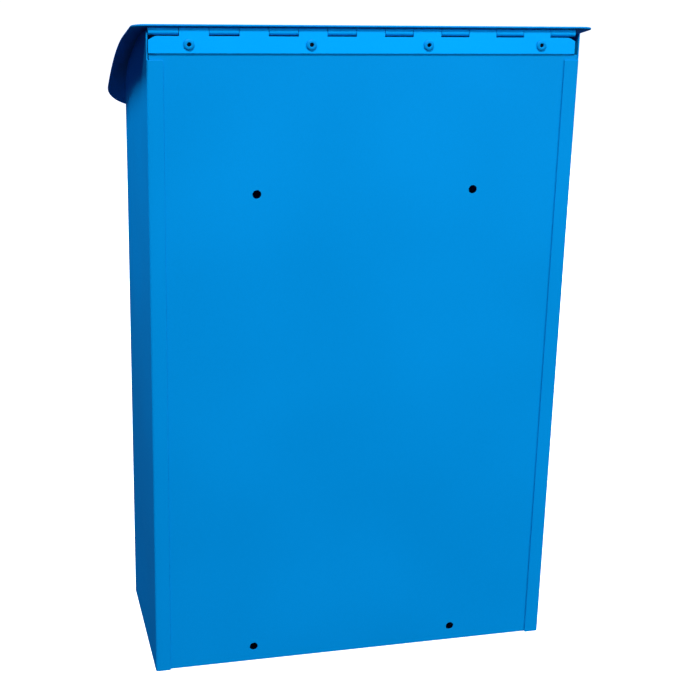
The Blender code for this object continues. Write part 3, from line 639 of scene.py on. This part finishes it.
# The leaf's outer skin is drawn flat and its own knuckles are rolled round the axis
def makeLeaf(name, node, finish, body, place, length, ownsEnds, rivets, trim=0, clipped=False):
    form = hingeForm
    count = round(length / form["knuckle"])
    bm = bmesh.new()
    cuts = [-length / 2 + trim]
    for number in range(1, count):
        edge = -length / 2 + number * form["knuckle"]
        cuts += [edge - form["gap"] / 2, edge + form["gap"] / 2]
    cuts.append(length / 2)
    top = [bm.verts.new((form["notch"], form["barrel"], cut)) for cut in cuts]
    for first, second in zip(top, top[1:]):
        bm.edges.new((first, second))
    rolled = [bm.edges.get((top[2 * number], top[2 * number + 1])) for number in range(count)
              if (number % 2 == 0) == ownsEnds]
    plate = bmesh.ops.extrude_edge_only(bm, edges=bm.edges[:])["geom"]
    bmesh.ops.translate(bm, vec=(form["width"] - form["notch"], 0, 0),
                        verts=[item for item in plate if isinstance(item, bmesh.types.BMVert)])
    neck = bmesh.ops.extrude_edge_only(bm, edges=rolled)["geom"]
    bmesh.ops.translate(bm, vec=(-form["notch"], 0, 0),
                        verts=[item for item in neck if isinstance(item, bmesh.types.BMVert)])
    bmesh.ops.spin(bm, geom=[item for item in neck if not isinstance(item, bmesh.types.BMFace)],
                   axis=(0, 0, 1), cent=(0, 0, 0), steps=form["curlSteps"], angle=form["curl"])
    bmesh.ops.remove_doubles(bm, verts=bm.verts, dist=smallest)
    bmesh.ops.recalc_face_normals(bm, faces=bm.faces)
    flat = max(bm.faces, key=lambda face: face.calc_area())
    if flat.normal.y < 0:
        bmesh.ops.reverse_faces(bm, faces=bm.faces)
    bmesh.ops.solidify(bm, geom=bm.faces[:], thickness=form["leaf"])
    bmesh.ops.transform(bm, matrix=place, verts=bm.verts)
    bmesh.ops.recalc_face_normals(bm, faces=bm.faces)
    holes = bmesh.new()
    for spot in rivets:
        addRivetHole(holes, spot)
    cutters = [(linkMesh(name + "Holes", holes), "DIFFERENCE")]
    if clipped:
        cutters.append((makeClips(name, place, -length / 2 + trim, length / 2), "DIFFERENCE"))
    finishPiece(name, bm, finish, body, [node], cutters, easing=0.00016)


# Two slanting cutters for the corners beside the end knuckles
def makeClips(name, place, low, high):
    wide, deep = hingeForm["clip"]
    size = wide + deep
    bm = bmesh.new()
    for side, end in ((-1, low), (1, high)):
        outward = Vector((-wide, 0, side * deep)).normalized()
        across = Vector((0, 1, 0))
        corner = Vector((hingeForm["notch"] + deep / 2, hingeForm["barrel"], end - side * wide / 2))
        slant = placeMatrix(corner, outward, across, outward.cross(across))
        block = Matrix.Translation((size / 2, 0, 0)) @ Matrix.Diagonal((size, size / 2, 2 * size, 1))
        bmesh.ops.create_cube(bm, size=1, matrix=place @ slant @ block)
    return linkMesh(name + "Clips", bm)


def makePin(name, node, place, length, trim=0):
    bm = bmesh.new()
    addRod(bm, hingeForm["pin"], -length / 2 + trim, length / 2, hingeForm["pinSteps"], place)
    finishPiece(name, bm, "plated_steel", "box", [node], easing=0.0003, steps=3)


# Blind rivets

rivetForm = {
    "hole": 0.0026,
    "holeReach": 0.006,
    "holeSteps": 24,
    "shank": 0.0023,
    "head": 0.0046,
    "headHeight": 0.0015,
    "dome": 0.75,              # of the head's height, above its rim
    "domeSteps": 8,
    "edge": 0.0001,            # chamfer under the rim
    "seat": 0.0003,
    "mandrel": 0.0018,
    "mouth": 0.0002,           # chamfer of the mandrel's hole
    "mandrelDrop": 0.0011,     # broken stem's end below the head's top
    "stemGap": 0.0001,
    "stemChamfer": 0.0003,
    "stemTip": 0.6,            # of the mandrel's radius
    "stemSteps": 24,
    "bulb": 0.0033,
    "bulbLength": 0.0028,
    "bulbStraight": 0.6,       # of its length, before it tapers
    "hollow": 0.5,             # of the mandrel's radius, inside the bulb
    "panelStack": 0.0027,      # sheet, leaf and gap that a rivet holds
    "lidStack": 0.0030,
    "steps": 48,
}


def addRivetHole(bm, place):
    reach = rivetForm["holeReach"]
    addRod(bm, rivetForm["hole"], -reach, reach, rivetForm["holeSteps"], place)


# The head is a low dome with a rolled rim; the broken stem sits down in its hole, near-black as painted
# shade for the hole
def makeRivet(name, node, body, place, stack):
    form = rivetForm
    top = form["seat"] + form["headHeight"]
    under = -stack - form["seat"]
    mouth = form["mandrel"] + form["mouth"]
    stemSeat = -form["bulbLength"] / 2
    profile = [(form["mandrel"], stemSeat), (form["mandrel"], top - form["mouth"]), (mouth, top)]
    for step in range(1, form["domeSteps"] + 1):
        lean = math.pi / 2 * step / form["domeSteps"]
        radius = mouth + (form["head"] - mouth) * math.sin(lean)
        rise = 1 - form["dome"] + form["dome"] * math.cos(lean)
        profile.append((radius, form["seat"] + form["headHeight"] * rise))
    edge, hollow = form["edge"], form["mandrel"] * form["hollow"]
    profile += [(form["head"], form["seat"] + edge), (form["head"] - edge, form["seat"]),
                (form["shank"], form["seat"]), (form["shank"], under), (form["bulb"], under),
                (form["bulb"], under - form["bulbLength"] * form["bulbStraight"]),
                (form["mandrel"], under - form["bulbLength"]),
                (hollow, under - form["bulbLength"]), (hollow, stemSeat)]
    finishPiece(name, turnedShape(profile, place, form["steps"]), "blue_paint", body, [node], easing=0)
    stemTop = top - form["mandrelDrop"]
    stemLow = stemSeat + form["stemGap"]
    side = form["mandrel"] - form["stemGap"]
    stem = [(0, stemLow), (side, stemLow), (side, stemTop - form["stemChamfer"]),
            (form["mandrel"] * form["stemTip"], stemTop), (0, stemTop)]
    # The stem's near-black finish paints the shade down in the hole
    finishPiece(name + "Stem", turnedShape(stem, place, form["stemSteps"]), "mandrel", body, easing=0)


def rivetRow(length):
    reach = length / 2 - hingeForm["endMargin"]
    return [reach * (2 * number / 3 - 1) for number in range(4)]


# Lid hinge

lidPinLow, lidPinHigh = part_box("lid_hinge_pin")
lidAxis = (lidPinLow + lidPinHigh) / 2
lidHingeLength = lidPinHigh.x - lidPinLow.x


def lidRivetPlaces():
    seat = (lidAxis + lidForward * hingeForm["rivetLine"]
            + lidUp * (hingeForm["barrel"] + rivetForm["seat"] + lidForm["sheet"]))
    return [placeMatrix(seat + Vector((x, 0, 0)), (1, 0, 0), -lidForward, lidUp)
            for x in rivetRow(lidHingeLength)]


def backRivetPlaces():
    return [placeMatrix(Vector((lidAxis.x + x, wallY, lidAxis.z - hingeForm["rivetLine"])),
                        (1, 0, 0), (0, 0, -1), (0, 1, 0)) for x in rivetRow(lidHingeLength)]


def makeLidHinge():
    backPlace = placeMatrix(lidAxis, (0, 0, -1), (0, 1, 0), (1, 0, 0))
    lidPlace = placeMatrix(lidAxis, lidForward, lidUp, (1, 0, 0))
    # The lid hinge's leaves take the brighter coat, a painted highlight
    makeLeaf("lidHingeBackLeaf", "lid_hinge_back_leaf", "leafPaintedHighlight", "box", backPlace,
             lidHingeLength, False, backRivetPlaces(), hingeForm["endTrim"], clipped=True)
    makeLeaf("lidHingeLidLeaf", "lid_hinge_lid_leaf", "leafPaintedHighlight", "lid", lidPlace,
             lidHingeLength, True, lidRivetPlaces(), hingeForm["endTrim"])
    makePin("lidHingePin", "lid_hinge_pin", backPlace, lidHingeLength, hingeForm["endTrim"])
    for number, place in enumerate(backRivetPlaces(), 1):
        makeRivet(f"backRivet{number}", f"back_rivet_{number}", "box", place,
                  rivetForm["panelStack"])
    for number, place in enumerate(lidRivetPlaces(), 1):
        makeRivet(f"lidRivet{number}", f"lid_rivet_{number}", "lid", place,
                  rivetForm["lidStack"])


# Door hinge

doorPinLow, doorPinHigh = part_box("door_hinge_pin")
doorAxis = (doorPinLow + doorPinHigh) / 2
doorHingeLength = doorPinHigh.z - doorPinLow.z
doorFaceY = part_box("door_panel")[0].y


def doorRivetPlaces(across):
    x = doorAxis.x + across * hingeForm["rivetLine"]
    return [placeMatrix(Vector((x, doorFaceY, doorAxis.z + height)), (1, 0, 0), (0, 0, 1), (0, -1, 0))
            for height in rivetRow(doorHingeLength)]


def makeDoorHinge():
    framePlace = placeMatrix(doorAxis, (-1, 0, 0), (0, 1, 0), (0, 0, 1))
    doorPlace = placeMatrix(doorAxis, (1, 0, 0), (0, 1, 0), (0, 0, 1))
    makeLeaf("doorHingeFrameLeaf", "door_hinge_frame_leaf", "blue_paint", "box", framePlace,
             doorHingeLength, True, doorRivetPlaces(-1))
    makeLeaf("doorHingeDoorLeaf", "door_hinge_door_leaf", "blue_paint", "door", doorPlace,
             doorHingeLength, False, doorRivetPlaces(1))
    makePin("doorHingePin", "door_hinge_pin", doorPlace, doorHingeLength)
    for number, place in enumerate(doorRivetPlaces(-1), 1):
        makeRivet(f"frameRivet{number}", f"frame_rivet_{number}", "box", place,
                  rivetForm["panelStack"])
    for number, place in enumerate(doorRivetPlaces(1), 1):
        makeRivet(f"doorRivet{number}", f"door_rivet_{number}", "door", place,
                  rivetForm["panelStack"])


# Cam lock

lockForm = {
    "head": 0.0110,
    "headHeight": 0.0024,
    "barrel": 0.0093,
    "barrelEnd": 0.0120,
    "threadPitch": 0.0010,
    "threadDepth": 0.0005,
    "bore": 0.0068,
    "lipSeat": 0.0081,
    "plug": 0.0065,
    "lip": 0.0078,
    "lipHeight": 0.0012,
    "tail": 0.0060,
    "tailOverlap": 0.0003,
    "keyway": (0.0018, 0.0080, 0.0060),
    "sideWard": (1 / 6, 1 / 8, 0.98),   # start, half height and depth, of the keyway's sizes
    "keywayShade": (0.0001, 0.0015),  # gap round the near-black block that paints the keyway's shade, and its depth below the face
    "nutFlats": 0.0240,
    "nutHeight": 0.0040,
    "nutTop": -0.0015,
    "nutChamfer": 0.125,       # of its height
    "nutReach": 0.004,         # of the bore's cutter, past the nut
    "camBack": 0.0123,
    "camThickness": 0.0020,
    "camWidth": 0.0140,
    "camRound": 0.999,         # of half its width
    "camRoundSteps": 12,
    "camHole": (0.01, 0.005),  # the square hole's cutter, behind and before the cam's face
    "screwHead": 0.0048,
    "screwHeadHeight": 0.0022,
    "screwHeadSteps": 8,
    "screwCrown": 0.3,         # of the head's radius, rounded over
    "screw": 0.0017,
    "screwLength": 0.006,
    "screwSteps": 48,
    "boreSteps": 24,
    "slot": (0.0012, 0.0010),
    "slotReach": 0.01,
    "headRound": 0.0008,
    "headRoundSteps": 6,
    "lipChamfer": 0.0003,
    "steps": 64,
}
lockLow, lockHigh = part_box("lock_body")
lockPlace = placeMatrix(Vector(((lockLow.x + lockHigh.x) / 2, doorFaceY, (lockLow.z + lockHigh.z) / 2)),
                        (1, 0, 0), (0, 0, 1), (0, -1, 0))


def lockCube(bm, low, high):
    size = Vector(high) - Vector(low)
    middle = (Vector(high) + Vector(low)) / 2
    bmesh.ops.create_cube(bm, size=1, matrix=lockPlace @ Matrix.Translation(middle)
                          @ Matrix.Diagonal((*size, 1)))


def makeLockBody():
    form = lockForm
    head = rivetForm["seat"] + form["headHeight"]
    root = form["barrel"] - form["threadDepth"]
    profile = [(form["bore"], -form["barrelEnd"]), (root, -form["barrelEnd"])]
    height = -form["barrelEnd"] + form["threadPitch"] / 2
    while height < -form["threadPitch"]:
        profile += [(form["barrel"], height), (root, height + form["threadPitch"] / 2)]
        height += form["threadPitch"]
    rounding = form["headRound"]
    profile += [(root, rivetForm["seat"]), (form["head"], rivetForm["seat"]),
                (form["head"], head - rounding)]
    for step in range(1, form["headRoundSteps"] + 1):
        lean = math.pi / 2 * step / form["headRoundSteps"]
        profile.append((form["head"] - rounding + rounding * math.cos(lean),
                        head - rounding + rounding * math.sin(lean)))
    seat = head - form["lipHeight"] - rivetForm["seat"]
    chamfer = form["lipChamfer"]
    profile += [(form["lipSeat"] + chamfer, head), (form["lipSeat"], head - chamfer),
                (form["lipSeat"], seat), (form["bore"], seat)]
    finishPiece("lockBody", turnedShape(profile, lockPlace, form["steps"]), "chrome", "door",
                ["lock_body"], easing=0)


def makeLockPlug():
    form = lockForm
    front = rivetForm["seat"] + form["headHeight"]
    chamfer = form["lipChamfer"]
    profile = [(0, -form["barrelEnd"]), (form["plug"], -form["barrelEnd"]),
               (form["plug"], front - form["lipHeight"]), (form["lip"], front - form["lipHeight"]),
               (form["lip"], front - chamfer), (form["lip"] - chamfer, front), (0, front)]
    bm = turnedShape(profile, lockPlace, form["steps"])
    half = form["tail"] / 2
    tailEnd = form["camBack"] + form["camThickness"] - rivetForm["seat"]
    tail = bmesh.new()
    lockCube(tail, (-half, -half, -tailEnd), (half, half, -form["barrelEnd"] + form["tailOverlap"]))
    wide, tall, deep = form["keyway"]
    keyway = bmesh.new()
    lockCube(keyway, (-wide / 2, -tall / 2, front - deep), (wide / 2, tall / 2, front + deep))
    start, reach, depth = form["sideWard"]
    ward = bmesh.new()
    lockCube(ward, (wide * start, -tall * reach, front - deep * depth),
             (wide, tall * reach, front + deep))
    bore = bmesh.new()
    addRod(bore, form["screw"] + rivetForm["seat"], -tailEnd - form["screwHeadHeight"],
           -tailEnd + form["screwLength"], form["boreSteps"], lockPlace)
    finishPiece("lockPlug", bm, "chrome", "lock", ["lock_plug"],
                [(linkMesh("plugTail", tail), "UNION"), (linkMesh("plugKeyway", keyway), "DIFFERENCE"),
                 (linkMesh("plugWard", ward), "DIFFERENCE"), (linkMesh("plugBore", bore), "DIFFERENCE")],
                easing=0.0001)
    # A near-black block sunk in the keyway is painted shade that keeps the keyway dark
    gap, sunk = form["keywayShade"]
    keywayShade = bmesh.new()
    lockCube(keywayShade, (gap - wide / 2, gap - tall / 2, front - deep + gap),
             (wide / 2 - gap, tall / 2 - gap, front - sunk))
    finishPiece("plugWards", keywayShade, "mandrel", "lock", easing=0.0001)


def makeLockNut():
    form = lockForm
    top = form["nutTop"]
    corner = form["nutFlats"] / 2 / math.cos(math.pi / 6)
    bm = bmesh.new()
    addRod(bm, corner, top - form["nutHeight"], top, 6, lockPlace)
    chamfer = form["nutHeight"] * form["nutChamfer"]
    low, high = top - form["nutHeight"], top
    limit = turnedShape([(0, low), (form["nutFlats"] / 2, low), (corner, low + chamfer),
                         (corner, high - chamfer), (form["nutFlats"] / 2, high), (0, high)],
                        lockPlace, form["steps"])
    bore = bmesh.new()
    addRod(bore, form["barrel"] + rivetForm["seat"], low - form["nutReach"], high + form["nutReach"],
           form["steps"], lockPlace)
    finishPiece("lockNut", bm, "plated_steel", "door", ["lock_nut"],
                [(linkMesh("nutLimit", limit), "INTERSECT"), (linkMesh("nutBore", bore), "DIFFERENCE")],
                easing=0.00015)


def makeLockCam():
    form = lockForm
    low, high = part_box("lock_cam")
    half = form["camWidth"] / 2
    reach = high.z - low.z - form["camWidth"]
    bm = bmesh.new()
    bmesh.ops.create_grid(bm, x_segments=1, y_segments=1, size=1)
    bmesh.ops.scale(bm, vec=(half, (high.z - low.z) / 2, 1), verts=bm.verts)
    bmesh.ops.translate(bm, vec=(0, -reach / 2, 0), verts=bm.verts)
    bmesh.ops.bevel(bm, geom=bm.verts[:], offset=half * form["camRound"], offset_type="OFFSET",
                    affect="VERTICES", segments=form["camRoundSteps"], profile=0.5, material=-1)
    grown = bmesh.ops.extrude_face_region(bm, geom=bm.faces[:])["geom"]
    bmesh.ops.translate(bm, vec=(0, 0, form["camThickness"]),
                        verts=[item for item in grown if isinstance(item, bmesh.types.BMVert)])
    bmesh.ops.translate(bm, vec=(0, 0, -form["camBack"] - form["camThickness"]), verts=bm.verts)
    bmesh.ops.transform(bm, matrix=lockPlace, verts=bm.verts)
    bmesh.ops.recalc_face_normals(bm, faces=bm.faces)
    hole = bmesh.new()
    side = form["tail"] / 2 + rivetForm["seat"]
    behind, before = form["camHole"]
    lockCube(hole, (-side, -side, -form["camBack"] - behind), (side, side, -form["camBack"] + before))
    finishPiece("lockCam", bm, "plated_steel", "lock", ["lock_cam"],
                [(linkMesh("camHole", hole), "DIFFERENCE")], easing=0.0003, steps=3)


def makeCamScrew():
    form = lockForm
    under = -form["camBack"] - form["camThickness"] - rivetForm["seat"]
    end = under - form["screwHeadHeight"]
    profile = [(0, end)]
    crown = form["screwCrown"]
    for step in range(form["screwHeadSteps"] + 1):
        lean = math.pi / 2 * step / form["screwHeadSteps"]
        profile.append((form["screwHead"] * (1 - crown + crown * math.sin(lean)),
                        end + form["screwHeadHeight"] / 2 * (1 - math.cos(lean))))
    tip = under + form["screwLength"]
    profile += [(form["screwHead"], under), (form["screw"], under), (form["screw"], tip), (0, tip)]
    slot = bmesh.new()
    wide, deep = form["slot"]
    reach = form["slotReach"]
    lockCube(slot, (-wide / 2, -reach, end - reach), (wide / 2, reach, end + deep))
    finishPiece("camScrew", turnedShape(profile, lockPlace, form["screwSteps"]), "plated_steel",
                "lock", ["cam_screw"], [(linkMesh("screwSlot", slot), "DIFFERENCE")], easing=0.0001)


makeCamera()
makeSky()
makeFloor()
print("studio made")
makePanels()
print("panels made")
makeLid()
print("lid made")
makeLidHinge()
print("lid hinge made")
makeDoorHinge()
print("door hinge made")
makeLockBody()
makeLockPlug()
makeLockNut()
makeLockCam()
makeCamScrew()
print("lock made")
makeLamps()

bpy.context.scene.view_settings.view_transform = "Standard"
